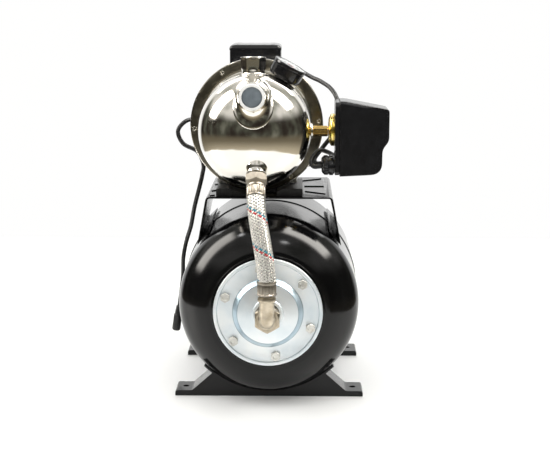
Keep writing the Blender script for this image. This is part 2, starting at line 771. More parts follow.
def platform_outline():
    """(x, z): a flat top with a skirt down each side to the tank."""
    right = [(0, PLATE_Z)]
    right += rounded([(0.05, PLATE_Z), (PLATE_HALF, PLATE_Z), (SKIRT_X + 0.001, SKIRT_Z)],
                     (0, 0.006, 0))
    right += [on_tank(0.108 - 0.017 * k / 6) for k in range(7)]
    right += [on_tank(x, PLATE_T) for x in (0.091, 0.095, 0.0985)]
    right += [
        (SKIRT_X - PLATE_T * 0.9, SKIRT_Z + 0.0065),
        (PLATE_HALF - PLATE_T, PLATE_Z - 0.006),
        (PLATE_HALF - PLATE_T * 1.15, PLATE_Z - 0.0042),
        (PLATE_HALF - 0.0042, PLATE_Z - PLATE_T * 1.1),
        (PLATE_HALF - 0.0065, PLATE_Z - PLATE_T), (0, PLATE_Z - PLATE_T),
    ]
    return right + [(-x, z) for x, z in reversed(right) if x > 0]


# Left and right ends, as (x, y), of the narrow slots beside the pump's foot.
SLOT_LINES = (
    ((0.0500, 0.0577), (0.0820, 0.0820)), ((0.0530, -0.0020), (0.0840, -0.0020)),
    ((0.0530, -0.0545), (0.0835, -0.0800)), ((-0.0880, 0.0160), (-0.0680, 0.0310)),
    ((-0.0885, -0.0520), (-0.0815, -0.0450)), ((-0.0885, -0.1000), (-0.0815, -0.0940)),
)


def strip(line, front, rear):
    """A band along a slot, between two distances measured rearward from its middle line."""
    start, end = (Vector(point) for point in line)
    rearward = (end - start).normalized().orthogonal()
    near, far = rearward * front, rearward * rear
    return [tuple(corner) for corner in (start + near, end + near, end + far, start + far)]


def base_bolt_holes(low, high, sides):
    return [drill((x, y, low), (x, y, high), BOLT_HOLE_R, sides) for x, y in BASE_BOLTS]


platform = prism("pump_platform_look", platform_outline(), "Y", PLATE_FRONT, PLATE_REAR,
                 FRAME_PAINT)
bevel(platform, width=0.0006, segments=2, angle=40)
cut(platform, *[prism("slot", strip(line, -0.0008, 0.0008), "Z", PLATE_Z - 0.008, PLATE_Z + 0.004)
                for line in SLOT_LINES], *base_bolt_holes(0.290, 0.310, 32))
dress(platform)
# Each slot has a turned-up lip along its rear edge.
lips = [bevel(prism("lip", strip(line, 0.0009, 0.0026), "Z", PLATE_Z - 0.0006, PLATE_Z + 0.0015,
                    FRAME_PAINT), width=0.0004, segments=2, angle=40) for line in SLOT_LINES]
trim(join("platform_slot_lips_look", *lips))

# ---------------------------------------------------------- bushing and elbow
BUSHING_FLAT = 0.0175  # half the width over the flats
bushing = [
    (0.0100, -0.2360), (0.0162, -0.2360), (BUSHING_FLAT, -0.2357, ("hex", 0.0168)),
    (BUSHING_FLAT, -0.2350, ("hex", 0.0182)), (BUSHING_FLAT, -0.2343, ("hex", 0.0194)),
    (BUSHING_FLAT, -0.2336, FULL_HEX), (BUSHING_FLAT, -0.2236, FULL_HEX),
    (BUSHING_FLAT, -0.2228, ("hex", 0.0190)), (0.0170, -0.2222), (0.0170, -0.2206),
    (0.0170, -0.2202), (0.0164, -0.2196), (0.0168, -0.2188), (0.0164, -0.2178),
    (0.0168, -0.2168), (0.0164, -0.2158), (0.0168, -0.2148), (0.0164, -0.2138),
    (0.0168, -0.1980), (0.0100, -0.1980),
]
dress(turned("tank_bushing_look", bushing, BRASS, TANK_AXIS, angle=24))

ELBOW_INLET = (  # y, radius of the level arm
    (-0.2180, 0.0092), (-0.2362, 0.0094), (-0.2364, 0.0128), (-0.2372, 0.0131),
    (-0.2398, 0.0131), (-0.2406, 0.0127), (-0.2410, 0.0110), (-0.2414, 0.0109),
)
ELBOW_RISE = (  # height, radius of the upright arm
    (0.0270, 0.0107), (0.0278, 0.0112), (0.0290, 0.0127), (0.0296, 0.0129), (0.0330, 0.0129),
    (0.0342, 0.0126), (0.0346, 0.0112), (0.0362, 0.0110), (0.0366, 0.0090), (0.0372, 0.0086),
    (0.0380, 0.0072), (0.0470, 0.0072),
)
BEND_START, BEND_R, BEND_TUBE_R = -0.2420, 0.0085, 0.0108


def elbow():
    # Each station is a centre, the upward direction of its ring and a radius.
    stations = [((0, y, TANK_Z), (0, 0, 1), radius) for y, radius in ELBOW_INLET]
    for k in range(13):
        turn = radians(90 * k / 12)
        centre = (0, BEND_START - BEND_R * sin(turn), TANK_Z + BEND_R * (1 - cos(turn)))
        stations.append((centre, (0, sin(turn), cos(turn)), BEND_TUBE_R))
    stations += [((0, -0.2505, TANK_Z + 0.003 + z), (0, 1, 0), radius)
                 for z, radius in ELBOW_RISE]
    side = Vector((1, 0, 0))
    turns = [2 * pi * k / 56 for k in range(56)]
    rings = [[Vector(centre) + (side * cos(turn) + Vector(upward) * sin(turn)) * radius
              for turn in turns] for centre, upward, radius in stations]
    return shell("brass_elbow_look", rings, BRASS, 34)


dress(elbow())

# ----------------------------------------------------------------------- hose
HOSE_X, HOSE_Y = 0, -0.25  # where the hose meets the elbow
HOSE_PORT = Vector((-0.0158, -0.2030, 0.3480))
HOSE_DIR = Vector((0.0, -0.55, -0.835)).normalized()
HOSE_TOP = HOSE_PORT + HOSE_DIR * 0.0345
HOSE_LOW = Vector((HOSE_X, HOSE_Y, TANK_Z + 0.0615))

CRIMP = ("flute", 16, 0.0011)
LOWER_FERRULE = (
    (0.0112, 0), (0.0130, 0), (0.0137, 0.0005), (0.0140, 0.0010), (0.0140, 0.0026),
    (0.0133, 0.0032), (0.0134, 0.0040, CRIMP), (0.0136, 0.0050, CRIMP),
    (0.0136, 0.0150, CRIMP), (0.0134, 0.0160, CRIMP), (0.0133, 0.0167), (0.0139, 0.0174),
    (0.0141, 0.0182), (0.0141, 0.0194), (0.0137, 0.0204), (0.0130, 0.0206), (0.0112, 0.0206),
)
dress(turned("hose_lower_ferrule_look", LOWER_FERRULE, FERRULE,
             (HOSE_X, HOSE_Y, TANK_Z + 0.0403), (0, 0, 1), sides=208, angle=40))
UPPER_FERRULE = (
    (0.0112, 0.0153), (0.0126, 0.0153), (0.0134, 0.0158), (0.0137, 0.0165), (0.0137, 0.0182),
    (0.0129, 0.0190), (0.0132, 0.0198, CRIMP), (0.0134, 0.0206, CRIMP),
    (0.0134, 0.0298, CRIMP), (0.0132, 0.0306, CRIMP), (0.0129, 0.0312), (0.0136, 0.0320),
    (0.0137, 0.0328), (0.0137, 0.0338), (0.0133, 0.0345), (0.0112, 0.0345),
)
dress(turned("hose_upper_ferrule_look", UPPER_FERRULE, FERRULE, HOSE_PORT, HOSE_DIR,
             sides=208, angle=40))
NUT_FLAT = 0.0147
SWIVEL_NUT = (
    (0.0118, 0.0003), (0.0140, 0.0003), (NUT_FLAT, 0.0009, ("hex", 0.0150)),
    (NUT_FLAT, 0.0017, ("hex", 0.0162)), (NUT_FLAT, 0.0026, FULL_HEX),
    (NUT_FLAT, 0.0100, FULL_HEX), (NUT_FLAT, 0.0108, ("hex", 0.0162)),
    (NUT_FLAT, 0.0114, ("hex", 0.0150)), (0.0138, 0.0122), (0.0128, 0.0142), (0.0120, 0.0150),
    (0.0112, 0.0150), (0.0112, 0.0120), (0.0118, 0.0120),
)
dress(turned("hose_swivel_nut_look", SWIVEL_NUT, NUT_BRASS, HOSE_PORT, HOSE_DIR, angle=24))


def hose_path(count):
    """A cubic curve from the upper ferrule to the lower one."""
    start, end = HOSE_TOP + HOSE_DIR * 0.0007, HOSE_LOW + Vector((0, 0, 0.0002))
    near = start + HOSE_DIR * 0.036 + Vector((0.001, 0, 0))
    far = end + Vector((-0.003, 0, 0.044))
    return [start * (1 - s) ** 3 + near * 3 * s * (1 - s) ** 2 + far * 3 * s * s * (1 - s)
            + end * s**3 for s in [i / count for i in range(count + 1)]]


def walk(path, step):
    """The path resampled to even steps."""
    found, left_over = [path[0]], 0.0
    for start, end in zip(path, path[1:]):
        length = (end - start).length
        at = step - left_over
        while at <= length:
            found.append(start.lerp(end, at / length))
            at += step
        left_over = (left_over + length) % step
    return found


# Both the core and the braid run on a little into the ferrules.
hose_start = HOSE_TOP - HOSE_DIR * 0.002
hose_end = HOSE_LOW - Vector((0, 0, 0.002))
core_line = [HOSE_TOP - HOSE_DIR * 0.01, hose_start, *hose_path(60), hose_end,
             HOSE_LOW - Vector((0, 0, 0.01))]
core = swept("hose_core", core_line, 0.0114, HOSE_CORE, bore=0.008, sides=32)

BRAID_STEP, BRAID_COUNT, BRAID_PITCH = 0.00052, 12, 0.052
BRAID_R, BRAID_WAVE = 0.01235, 0.00042  # mean radius, rise and fall over the crossings
RIBBON_HALF, RIBBON_RISE = 0.00122, 0.00026  # units of the section below
RIBBON_SECTION = (  # across, outward: three wires side by side
    (-1.0, -0.6), (-1.0, 0.0), (-0.84, 0.75), (-0.60, 1.15), (-0.33, 1.05), (-0.12, 1.6),
    (0.12, 1.6), (0.33, 1.05), (0.60, 1.15), (0.84, 0.75), (1.0, 0.0), (1.0, -0.6),
)
braid_line = stations_of(walk([hose_start, *hose_path(200), hose_end], BRAID_STEP))


def ribbon(name, index, turn, mat):
    """A flat bundle wound round the hose, over one crossing bundle and under the next."""
    rings = []
    for k, (point, across, upward, along) in enumerate(braid_line):
        distance = k * BRAID_STEP
        phase = 2 * distance / BRAID_PITCH * BRAID_COUNT
        angle = 2 * pi * index / BRAID_COUNT + turn * 2 * pi * distance / BRAID_PITCH
        out = across * cos(angle) + upward * sin(angle)
        round_way = along.cross(out).normalized()
        radius = BRAID_R + turn * BRAID_WAVE * cos(pi * phase)
        heading = (along + round_way * turn * 2 * pi * radius / BRAID_PITCH).normalized()
        sideways = heading.cross(out).normalized()
        rings.append([point + out * (radius + rise * RIBBON_RISE) + sideways * wide * RIBBON_HALF
                      for wide, rise in RIBBON_SECTION])
    return shell(name, rings, mat, 60)


TRACERS = {(-1, 9): ("hose_tracer_blue", BRAID_BLUE), (-1, 10): ("hose_tracer_red", BRAID_RED)}


def wind_braid():
    """The plain bundles as one object, and the coloured ones in a list."""
    plain, tracers = [], []
    for turn in (-1, 1):
        for index in range(BRAID_COUNT):
            if (turn, index) in TRACERS:
                name, mat = TRACERS[turn, index]
                tracers.append(ribbon(name, index, turn, mat))
            else:
                plain.append(ribbon("strand", index, turn, BRAID))
    build = bmesh.new()
    for strand in plain:
        build.from_mesh(strand.data)
        bpy.data.objects.remove(strand, do_unlink=True)
    # The strands are in the row frame already, and link() moves them again.
    bmesh.ops.translate(build, verts=build.verts, vec=-OFFSET)
    return link("hose_braid", build, BRAID, 60), tracers


braid, (tracer_blue, tracer_red) = wind_braid()
dress(braid, node="braided_hose")
for made in (core, tracer_red, tracer_blue):
    trim(made)

# --------------------------------------------------------------- pump casing
DOME_Y, DOME_DEPTH, CASING_WALL = -0.150, 0.065, 0.0015
PORT_R, PORT_BORE, SUCTION_Z, SUCTION_FACE = 0.01825, 0.0150, 0.4620, -0.2540
DISCHARGE_X, DISCHARGE_Y, DISCHARGE_TOP = PUMP_X - 0.0022, -0.1320, 0.5110
DISCHARGE_BORE = PORT_BORE - 0.0005


def dome(depth, steps):
    """(radius, y) over the casing's domed front."""
    angles = [radians(90.0 * i / steps) for i in range(steps)]
    points = [(CASING_R * cos(angle), DOME_Y - depth * sin(angle)) for angle in angles]
    return points + [(0.0, DOME_Y - depth)]


def dome_y(x, z):
    """Where the domed front of the casing stands at (x, z)."""
    share = ((x - PUMP_X) ** 2 + (z - PUMP_Z) ** 2) / CASING_R**2
    return DOME_Y - DOME_DEPTH * sqrt(max(0.0, 1 - share))


def pump_casing():
    profile = [
        (0, -0.0473), (0.09, -0.0473), (0.0905, -0.0477), (0.0905, RING_BACK + GAP),
        (0.0832, RING_BACK + GAP), (0.0827, -0.0503), (0.0825, -0.051), (0.0825, -0.0635),
    ]
    # Two low beads run round the side.
    profile += [(0.0825 + 0.0021 * sin(pi * k / 8) ** 2, -0.064 - 0.008 * k / 8)
                for k in range(9)]
    profile += [(0.0822, -0.076), (CASING_R, -0.08), (CASING_R, -0.115)]
    profile += [(CASING_R + 0.0011 * sin(pi * k / 6) ** 2, -0.117 - 0.004 * k / 6)
                for k in range(7)]
    profile += dome(DOME_DEPTH, 56)
    made = turned("pump_casing_look", profile, CHROME, PUMP_AXIS, sides=224, angle=40)
    inside = [(0, -0.04), (0.081, -0.04), (0.0803, -0.08)]
    inside += [(radius * (CASING_R - CASING_WALL) / CASING_R, y + 0.0002)
               for radius, y in dome(DOME_DEPTH - CASING_WALL, 20)]
    cut(made, turned("inside", inside, CHROME, PUMP_AXIS))
    cut(made,
        drill((PUMP_X, -0.16, SUCTION_Z), (PUMP_X, SUCTION_FACE - 0.002, SUCTION_Z),
              PORT_BORE, sides=48),
        drill((PUMP_X, DISCHARGE_Y, 0.45), (PUMP_X, DISCHARGE_Y, DISCHARGE_TOP + 0.002),
              DISCHARGE_BORE, sides=48))
    return made


def suction_neck():
    """The front port, with a drawn collar that spreads across the dome as a teardrop."""
    turns = [2 * pi * i / 112 for i in range(112)]

    def collar_reach(turn):
        height = sin(turn)
        if height < 0:
            return 0.0258 + 0.0216 * (-height) ** 1.7
        return 0.0258 - 0.0048 * height**2

    def collar(scale, shift, blend=0.0, lift=0.0):
        """A ring that goes from the dome at blend 0 to the straight neck at blend 1."""
        ring = []
        for turn in turns:
            outline = collar_reach(turn) + lift
            radius = PORT_R + 0.0012 + (outline - PORT_R - 0.0012) * scale
            x, z = PUMP_X + radius * cos(turn), SUCTION_Z + radius * sin(turn)
            ring.append((x, dome_y(x, z) * (1 - blend) + (-0.229) * blend + shift, z))
        return ring

    edge = ((0.0011, 0.0006), (0.0001, 0.0006), (-0.0008, 0.0001), (-0.0013, -0.0008))
    rings = [collar(1.0, shift, lift=lift) for shift, lift in edge]
    for share in [k / 18 for k in range(1, 19)]:
        rings.append(collar((1 - share) ** 1.9 * 0.96, -0.0013 * (1 - share), share**1.75))
    tube = (  # radius, y
        (PORT_R + 0.0002, -0.2300), (PORT_R, -0.2316), (PORT_R, SUCTION_FACE + 0.0010),
        (PORT_R - 0.0003, SUCTION_FACE + 0.0003), (PORT_R - 0.0010, SUCTION_FACE),
        (PORT_BORE + 0.0008, SUCTION_FACE), (PORT_BORE + 0.0002, SUCTION_FACE + 0.0004),
        (PORT_BORE, SUCTION_FACE + 0.0010), (PORT_BORE, -0.1800),
    )
    rings += [[(PUMP_X + radius * cos(turn), y, SUCTION_Z + radius * sin(turn))
               for turn in turns] for radius, y in tube]
    return shell("suction_neck_look", rings, CHROME, 42, closed=True)


def discharge_neck():
    """The top port: a round foot on the casing, from which six flats grow toward the rim."""
    turns = [2 * pi * i / 96 for i in range(96)]

    def on_casing(radius, lift):
        ring = []
        for turn in turns:
            x, y = DISCHARGE_X + radius * cos(turn), DISCHARGE_Y + radius * sin(turn)
            reach = CASING_R + lift
            if y < DOME_Y:
                reach *= sqrt(max(0.0, 1 - ((y - DOME_Y) / DOME_DEPTH) ** 2))
            ring.append((x, y, PUMP_Z + sqrt(max(0.0, reach**2 - (x - PUMP_X) ** 2))))
        return ring

    foot_rings = ((0.0224, -0.0009), (0.0224, 0.0004), (0.0220, 0.0012), (0.0208, 0.0015))
    rings = [on_casing(radius, lift) for radius, lift in foot_rings]
    # Radius, and share of the way from the casing up to a level ring.
    for radius, blend in ((0.0193, 0.06), (0.0181, 0.16), (0.0174, 0.30), (0.0170, 0.48),
                          (0.0168, 0.70), (0.0167, 0.90)):
        rings.append([(x, y, z * (1 - blend) + 0.49 * blend)
                      for x, y, z in on_casing(radius, 0.0012)])
    tube = (  # radius, z, share of the flats
        (0.0168, 0.4908, 0.0), (0.0171, 0.4920, 0.35), (0.0175, 0.4932, 0.75),
        (0.0178, 0.4948, 1.0), (0.0180, 0.4990, 1.0), (0.0184, 0.5060, 1.0),
        (0.0186, 0.5096, 1.0), (0.0185, 0.5104, 0.85), (0.0178, DISCHARGE_TOP, 0.6),
        (0.0153, DISCHARGE_TOP, 0.0), (0.0147, 0.5105, 0.0), (DISCHARGE_BORE, 0.5096, 0.0),
        (DISCHARGE_BORE, 0.4800, 0.0),
    )
    for radius, z, flats in tube:
        ring = []
        for turn in turns:
            hexagon = flats * cos(pi / 6) / cos(turn % (pi / 3) - pi / 6)
            reach = radius * (1 - flats + hexagon)
            ring.append((DISCHARGE_X + reach * cos(turn), DISCHARGE_Y + reach * sin(turn), z))
        rings.append(ring)
    return shell("discharge_neck_look", rings, CHROME, 42, closed=True)


OUTLET_NECK = (
    (0.0085, -0.0300), (0.0200, -0.0300), (0.0195, -0.0240), (0.0180, -0.0190),
    (0.0170, -0.0150), (0.0165, -0.0120), (0.0163, -0.0100), (0.0150, -0.0072),
    (0.0145, -0.0060), (0.0145, -0.0022), (0.0143, -0.0020), (0.0114, -0.0018),
    (0.0114, 0.0106), (0.0110, 0.0110), (0.0085, 0.0110),
)
SWITCH_BOSS = (
    (0.0066, 0.0560), (0.0124, 0.0560), (0.0118, 0.0618), (0.0110, 0.0626), (0.0110, 0.0645),
    (0.0066, 0.0645),
)
casing = pump_casing()
outlet = turned("outlet_neck_look", OUTLET_NECK, CHROME, HOSE_PORT, HOSE_DIR, sides=72)
boss = turned("switch_boss_look", soften(SWITCH_BOSS, 0.0005), CHROME,
              (0, SWITCH_Y, NIPPLE_Z), (1, 0, 0), sides=64)
dress(casing)
for made in (suction_neck(), discharge_neck(), outlet, boss):
    trim(made)

# A pale seal ring closes the end of the suction port, with a plug inside it.
SUCTION_SEAL = (  # radius, distance behind the port's face
    (0.0142, -0.0002), (0.0146, -0.0007), (0.0172, -0.0007), (0.0179, -0.0004),
    (0.0181, 0.0001), (0.0176, 0.0004), (0.0146, 0.0006), (0.0142, 0.0004),
)
SUCTION_PLUG = (
    (0, 0.0024), (0.0050, 0.0025), (0.0128, 0.0030), (0.0140, 0.0036), (0.0146, 0.0050),
    (0.0146, 0.0080), (0.0143, 0.0084), (0.0146, 0.0090), (0.0146, 0.0170), (0.0125, 0.0170),
    (0.0125, 0.0070), (0, 0.0066),
)


def in_port(name, profile, mat, sides):
    profile = [(radius, SUCTION_FACE + depth) for radius, depth in profile]
    return turned(name, profile, mat, (PUMP_X, 0, SUCTION_Z), sides=sides)


trim(in_port("suction_port_seal_look", SUCTION_SEAL, PORT_SEAL, 112))
dress(in_port("suction_plug_look", SUCTION_PLUG, PLUG, 72), body="plug")

# ----------------------------------------------------------------- clamp ring
RING_R, RING_IN = 0.100, 0.084
CLAMP_HOLE_R = 0.0026
CLAMP_RING = (
    (RING_IN, RING_FRONT + 0.0008), (RING_IN + 0.0006, RING_FRONT + 0.0001),
    (0.0868, RING_FRONT), (0.0984, RING_FRONT), (0.0994, RING_FRONT + 0.0005),
    (RING_R, RING_FRONT + 0.0014), (RING_R, RING_BACK - 0.0004), (0.0996, RING_BACK),
    (RING_IN, RING_BACK),
)
# A bright rolled lip runs round the clamp ring's outer edge.
CLAMP_LIP = (
    (0.0999, RING_FRONT + 0.0006), (0.1004, RING_FRONT + 0.0002), (0.1010, RING_FRONT + 0.0006),
    (0.1012, RING_FRONT + 0.0014), (0.1012, RING_BACK - 0.0008), (0.1007, RING_BACK - 0.0002),
    (0.0999, RING_BACK - 0.0004),
)


def clamp_holes(start, end):
    return drill_circle(PUMP_AXIS, CLAMP_BOLT_CIRCLE, CLAMP_BOLT_ANGLES, start, end,
                        CLAMP_HOLE_R)


clamp_ring = turned("clamp_ring_look", CLAMP_RING, RING_STEEL, PUMP_AXIS, sides=192)
cut(clamp_ring, *clamp_holes(RING_FRONT - 0.001, RING_BACK + 0.001))
dress(clamp_ring)
trim(turned("clamp_ring_lip_look", CLAMP_LIP, CHROME, PUMP_AXIS, sides=192))
for number, degrees in enumerate(CLAMP_BOLT_ANGLES, 1):
    seat = around(PUMP_AXIS, CLAMP_BOLT_CIRCLE, degrees, RING_FRONT - GAP)
    dress(hex_bolt(f"clamp_bolt_{number}_look", seat, (0, -1, 0), flat=0.0034, head=0.003,
                   shank_r=0.0021, shank=0.02, mat=CLAMP_STEEL, dish=0.0005))

# ------------------------------------------------------------- motor bracket
BRACKET = (  # radius, y
    (0.0096, -0.0470), (0.0860, -0.0470), (0.0860, -0.0442), (0.0890, -0.0442),
    (0.0890, -0.0470), (0.0980, -0.0470), (0.0980, -0.0380), (0.0700, -0.0300),
    (0.0660, -0.0200), (0.0555, -0.0200), (0.0555, -0.0120), (0.0520, -0.0120),
    (0.0500, -0.0240), (0.0270, -0.0250), (0.0250, 0.0000), (0.0203, 0.0000),
    (0.0203, -0.0126), (0.0096, -0.0126),
)
BRACKET_LUG = rounded(  # distance sideways from the pump's axis, y
    [(-0.030, -0.043), (-0.062, -0.043), (-0.062, -0.003), (-0.042, -0.003)],
    (0, 0.006, 0.006, 0), 8)
LUG_TOP = 0.3225
bracket = turned("motor_bracket_look", soften(BRACKET, 0.001), ALUMINIUM, PUMP_AXIS, sides=128)
for side in (-1, 1):
    merge(bracket, prism("lug", [(PUMP_X - side * x, y) for x, y in BRACKET_LUG], "Z",
                         0.314, LUG_TOP))
bracket_web = [(PUMP_X - 0.058, 0.315), (PUMP_X + 0.058, 0.315), (PUMP_X + 0.058, LUG_TOP),
               (PUMP_X + 0.030, 0.360), (PUMP_X - 0.030, 0.360), (PUMP_X - 0.058, LUG_TOP)]
merge(bracket, prism("web", bracket_web, "Y", -0.040, -0.032))
cut(bracket, *clamp_holes(-0.060, -0.028))
cut(bracket, *base_bolt_holes(0.310, 0.330, 24))
dress(bevel(bracket, width=0.0006, segments=2, angle=50))

# ------------------------------------------------------------------ pump foot
FOOT_TOP, RELIEF_R = 0.3135, 0.1008  # the top is hollowed to clear the clamp ring


def base_foot():
    edge = sqrt(RELIEF_R**2 - (PUMP_Z - FOOT_TOP) ** 2)
    start = -90 + atan2(edge, PUMP_Z - FOOT_TOP) * 180 / pi
    end = -180 - start
    outline = [(-0.08, PLATE_Z + GAP), (0.05, PLATE_Z + GAP), (0.05, 0.3119),
               (0.0496, 0.3131), (0.0484, FOOT_TOP)]
    for i in range(31):
        turn = radians(start + (end - start) * i / 30)
        outline.append((PUMP_X + RELIEF_R * cos(turn), PUMP_Z + RELIEF_R * sin(turn)))
    outline += [(-0.0784, FOOT_TOP), (-0.0796, 0.3131), (-0.08, 0.3119)]
    made = prism("pump_base_foot_look", outline, "Y", -0.1, 0.01, RUBBER)
    cut(made, *base_bolt_holes(0.295, 0.330, 24))
    cut(made, prism("gap", rectangle(-0.011, -0.101, 0.011, -0.056), "Z", 0.295, 0.330))
    middles = [PUMP_X - 0.003 + side * (0.033 + 0.009 * k) for side in (-1, 1) for k in range(3)]
    cut(made, *[prism("groove", rectangle(x - 0.0012, -0.101, x + 0.0012, -0.0985), "Z",
                      0.300, 0.320) for x in middles])
    return made


dress(base_foot())
for side, (x, y) in zip(("left", "right"), BASE_BOLTS):
    dress(hex_bolt(f"base_bolt_{side}_look", (x, y, LUG_TOP + GAP), (0, 0, 1), flat=0.005,
                   head=0.004, shank_r=0.003, shank=0.028, mat=ZINC_BOLT, dish=0.0006))

# --------------------------------------------------------------------- motor
FINS = 44
MOTOR_R, MOTOR_FRONT, MOTOR_REAR = 0.0675, -0.0195, 0.0940
FIN_SHAPE = (  # share of a fin's pitch, radius
    (-0.50, 0.0612), (-0.26, 0.0614), (-0.20, 0.0672), (-0.15, MOTOR_R), (0.15, MOTOR_R),
    (0.20, 0.0672), (0.26, 0.0614),
)


def motor_housing():
    fins = []
    for k in range(FINS):
        for part, radius in FIN_SHAPE:
            turn = radians(360 * k / FINS + part * (360 / FINS))
            fins.append((PUMP_X + radius * cos(turn), PUMP_Z + radius * sin(turn)))
    made = prism("motor_housing_look", fins, "Y", MOTOR_FRONT, MOTOR_REAR, ALUMINIUM)
    shield = ((0, 0.09), (0.0605, 0.09), (0.0605, 0.1015), (0.0595, 0.103), (0.02, 0.106),
              (0, 0.106))
    merge(made, turned("shield", shield, ALUMINIUM, PUMP_AXIS, sides=88))
    inside = ((0, MOTOR_FRONT - 0.002), (0.056, MOTOR_FRONT - 0.002), (0.056, 0.088),
              (0.0163, 0.088), (0.0163, 0.1004), (0.008, 0.1006), (0.008, 0.11), (0, 0.11))
    cut(made, turned("inside", inside, ALUMINIUM, PUMP_AXIS, sides=88))
    return made


dress(motor_housing())

FAN_COVER = (  # radius, y
    (0, 0.1490), (0.0120, 0.1490), (0.0560, 0.1490), (0.0590, 0.1484), (0.0640, 0.1452),
    (0.0680, 0.1412), (0.0692, 0.1390), (0.0695, 0.1370), (0.0695, MOTOR_REAR + 0.0005),
    (0.0680, MOTOR_REAR + 0.0005), (0.0680, 0.1365), (0.0660, 0.1400), (0.0550, 0.1472),
    (0, 0.1472),
)


def vents(count, start, low, high, half):
    """A ring of straight radial slots between two radii."""
    cutters = []
    for k in range(count):
        turn = radians(360 / count * k + start)
        across = Vector((-sin(turn), cos(turn))) * half
        inner, outer = (Vector((PUMP_X, PUMP_Z)) + Vector((cos(turn), sin(turn))) * reach
                        for reach in (low, high))
        corners = (inner - across, outer - across, outer + across, inner + across)
        cutters.append(prism("vent", [tuple(corner) for corner in corners], "Y", 0.141, 0.153))
    return cutters


fan_cover = turned("fan_cover_look", FAN_COVER, PLASTIC, PUMP_AXIS, sides=144)
cut(fan_cover, *vents(count=24, start=0, low=0.035, high=0.0525, half=0.0021))
cut(fan_cover, *vents(count=16, start=11.25, low=0.0145, high=0.0305, half=0.0016))
dress(fan_cover)

# -------------------------------------------------------------- terminal box
BOX_X0, BOX_X1, BOX_Y0, BOX_Y1 = -0.064, 0.016, 0.005, 0.090
LEAD_START = Vector((BOX_X1 - 0.001, 0.030, 0.493))
LID_LAYERS = (  # inset, z
    (-0.0002, 0.5148), (-0.0006, 0.5152), (-0.0006, 0.5180), (-0.0003, 0.5192),
    (0.0010, 0.5216), (0.0030, 0.5230), (0.0048, 0.5237), (0.0066, 0.5240),
)
LID_SCREWS = [(x, y) for x in (BOX_X0 + 0.013, BOX_X1 - 0.013)
              for y in (BOX_Y0 + 0.013, BOX_Y1 - 0.013)]
SCREW_HEAD = (
    (0, 0.0020), (0.0014, 0.0020), (0.0026, 0.0017), (0.0032, 0.0010), (0.0033, 0.0003),
    (0.0033, -0.0002), (0, -0.0002),
)
GROMMET = (
    (CABLE_R + 0.0001, -0.003), (0.0058, -0.003), (0.0066, 0.0004), (0.0062, 0.003),
    (CABLE_R + 0.0004, 0.0052), (CABLE_R + 0.0001, 0.0052),
)


def box_outline(inset, radius):
    return rounded(rectangle(BOX_X0 + inset, BOX_Y0 + inset, BOX_X1 - inset, BOX_Y1 - inset),
                   (radius,) * 4, 8)


box = prism("terminal_box_look", box_outline(0, 0.005), "Z", 0.4560, 0.5145, GLOSSY)
cut(box, drill((PUMP_X, -0.02, PUMP_Z), (PUMP_X, 0.12, PUMP_Z), MOTOR_R + 0.0012, sides=160))
cut(box, prism("inside", box_outline(0.0025, 0.003), "Z", 0.4765, 0.5240))
reach = Vector((0.006, 0, 0))
cut(box, drill(LEAD_START - reach, LEAD_START + reach, CABLE_R + 0.0004, sides=24))
dress(bevel(box, width=0.0004, segments=2, angle=60))

lid = shell("terminal_box_lid_look",
            [[(x, y, z) for x, y in box_outline(inset, 0.006)] for inset, z in LID_LAYERS],
            GLOSSY, 24)
cut(lid, *[drill((x, y, 0.5205), (x, y, 0.5275), 0.0038, sides=28) for x, y in LID_SCREWS])
dress(lid)
for number, (x, y) in enumerate(LID_SCREWS, 1):
    screw = turned(f"lid_screw_{number}_look", SCREW_HEAD, ZINC_BOLT, (x, y, 0.5208), (0, 0, 1),
                   sides=36)
    # Two crossed slots.
    for half_x, half_y in ((0.0004, 0.0019), (0.0019, 0.0004)):
        slot = rectangle(x - half_x, y - half_y, x + half_x, y + half_y)
        cut(screw, prism("cross", slot, "Z", 0.5218, 0.5235))
    trim(screw)
trim(turned("lead_grommet_look", soften(GROMMET, 0.0004), RUBBER,
            LEAD_START + Vector((0.0012, 0, 0)), (1, 0, 0), sides=40))

# --------------------------------------------------------------------- gauge
GAUGE_Y, GAUGE_BACK, GAUGE_FACE, GAUGE_R = -0.1120, 0.0846, 0.1082, 0.0250
GAUGE_ANGLE, GAUGE_LEAN = radians(61.0), radians(5.0)  # round the pump; forward
GAUGE_AXIS = Vector((cos(GAUGE_ANGLE) * cos(GAUGE_LEAN), -sin(GAUGE_LEAN),
                     sin(GAUGE_ANGLE) * cos(GAUGE_LEAN)))
GAUGE_ROOT = Vector((PUMP_X + CASING_R * cos(GAUGE_ANGLE), GAUGE_Y,
                     PUMP_Z + CASING_R * sin(GAUGE_ANGLE))) - GAUGE_AXIS * CASING_R
DIAL_ACROSS, DIAL_UP = frame_of(GAUGE_AXIS)
DIAL_BACK = GAUGE_FACE - 0.003
DIAL_TOP = DIAL_BACK + 0.0011
DIAL_START, DIAL_SWEEP = 225, 270  # degrees

